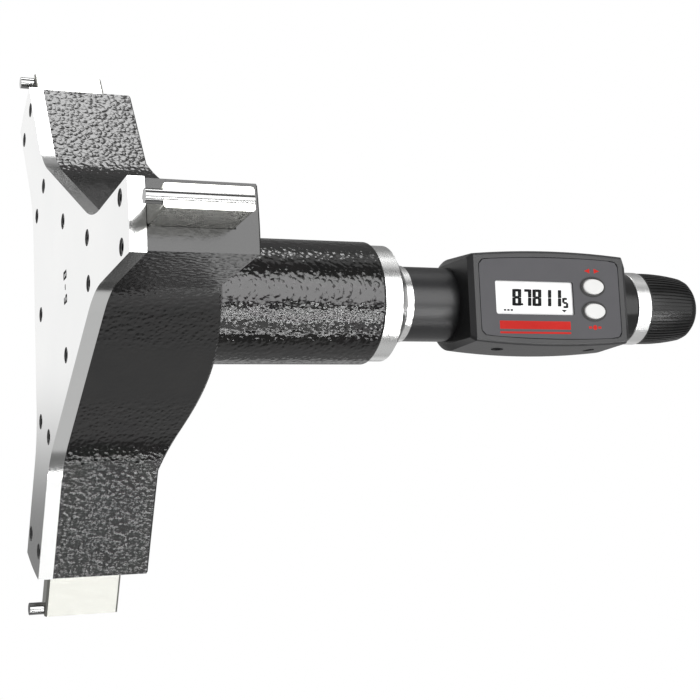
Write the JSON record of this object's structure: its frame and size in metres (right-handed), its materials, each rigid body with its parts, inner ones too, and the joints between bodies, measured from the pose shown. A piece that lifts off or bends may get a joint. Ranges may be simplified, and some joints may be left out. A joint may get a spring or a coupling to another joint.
{
  "type": "three-point bore gauge",
  "caption": "Three-point bore gauge with radial contact anvils, conical head, barrel, digital display housing and ribbed friction thimble.",
  "frame": {"origin": "centre of the front plate's outer face, on the handle's axis", "axes": "+Z along the handle's axis from the head to the thimble; +X through the first measuring arm; the display faces +X turned by about five degrees towards +Y"},
  "size_m": [0.17, 0.1956, 0.2422],
  "materials": {
    "ground_steel": "ground, satin",
    "polished_steel": "polished",
    "black_oxide": "black oxide screws",
    "spring_steel": "drawn wire",
    "black_paint": "glossy wrinkle paint",
    "black_tube": "satin black",
    "satin_chrome": "satin chrome",
    "bronze": "turned bronze",
    "housing_plastic": "fine moulded texture",
    "panel_plastic": "printed film",
    "cap_plastic": "glossy",
    "grip_plastic": "ribbed",
    "black_plastic": "moulded",
    "black_rubber": "moulded rubber",
    "clear_window": "clear display window",
    "lcd_grey": "reflective display",
    "board_green": "solder mask",
    "button_grey": "light moulded keys"
  },
  "bodies": {
    "head": {"head_casting": "black_paint", "front_plate": "ground_steel", "plate_screws": "black_oxide", "spring_posts": "ground_steel", "return_spring_1": "spring_steel", "return_spring_2": "spring_steel", "return_spring_3": "spring_steel", "barrel": "black_paint", "bearing_bush": "bronze", "collar": "satin_chrome", "neck_tube": "black_tube", "display_housing": "housing_plastic", "battery_cover": "housing_plastic", "cover_screws": "black_oxide", "housing_screws": "black_oxide", "label_panel": "panel_plastic", "lcd_window": "clear_window", "lcd_module": "lcd_grey", "circuit_board": "board_green", "button_gaskets": "black_rubber", "key_switches": "black_plastic", "coin_cell": "satin_chrome", "encoder_sensor": "black_plastic", "shaft_bush": "bronze", "rear_cap": "cap_plastic", "spindle_seal": "black_rubber"},
    "spindle": {"lead_screw": "polished_steel", "retaining_clip": "spring_steel", "drive_rod": "polished_steel", "encoder_disc": "black_plastic", "clutch_hub": "bronze", "shaft_nut": "polished_steel"},
    "grip": {"thimble_ring": "satin_chrome", "thimble_grip": "grip_plastic", "friction_plate": "bronze", "clutch_spring": "spring_steel", "end_plug": "cap_plastic"},
    "wedge": {"wedge_cone": "ground_steel", "drive_nut": "bronze"},
    "anvil_1": {"anvil_blade_1": "ground_steel", "anvil_pin_1": "polished_steel"},
    "anvil_2": {"anvil_blade_2": "ground_steel", "anvil_pin_2": "polished_steel"},
    "anvil_3": {"anvil_blade_3": "ground_steel", "anvil_pin_3": "polished_steel"},
    "mode_key": {"mode_button": "button_grey"},
    "set_key": {"set_button": "button_grey"}
  },
  "joints": [
    {"name": "thimble_spin", "type": "hinge", "parent": "head", "child": "spindle", "pos_m": [0, 0, 0.2], "axis": [0, 0, -1], "range_deg": [-7142.5, 2001.7]},
    {"name": "wedge_slide", "type": "slide", "parent": "head", "child": "wedge", "axis": [0, 0, -1], "range_m": [-0.01984, 0.00556]},
    {"name": "anvil_1_slide", "type": "slide", "parent": "head", "child": "anvil_1", "axis": [1, 0, 0], "range_m": [-0.00992, 0.00279]},
    {"name": "anvil_2_slide", "type": "slide", "parent": "head", "child": "anvil_2", "axis": [-0.5, 0.866, 0], "range_m": [-0.00992, 0.00279]},
    {"name": "anvil_3_slide", "type": "slide", "parent": "head", "child": "anvil_3", "axis": [-0.5, -0.866, 0], "range_m": [-0.00992, 0.00279]},
    {"name": "grip_slip", "type": "hinge", "parent": "spindle", "child": "grip", "pos_m": [0, 0, 0.23], "axis": [0, 0, -1], "continuous": true},
    {"name": "mode_press", "type": "slide", "parent": "head", "child": "mode_key", "axis": [-0.9959, -0.0906, 0], "range_m": [0, 0.0005], "stiffness_N_per_m": 300, "springref_m": -0.001},
    {"name": "set_press", "type": "slide", "parent": "head", "child": "set_key", "axis": [-0.9959, -0.0906, 0], "range_m": [0, 0.0005], "stiffness_N_per_m": 300, "springref_m": -0.001}
  ],
  "couplings": [
    {"joint": "thimble_spin", "follows": "wedge_slide", "rad_per_m": 6283.2},
    {"joint": "anvil_1_slide", "follows": "wedge_slide", "ratio": 0.5},
    {"joint": "anvil_2_slide", "follows": "wedge_slide", "ratio": 0.5},
    {"joint": "anvil_3_slide", "follows": "wedge_slide", "ratio": 0.5}
  ]
}
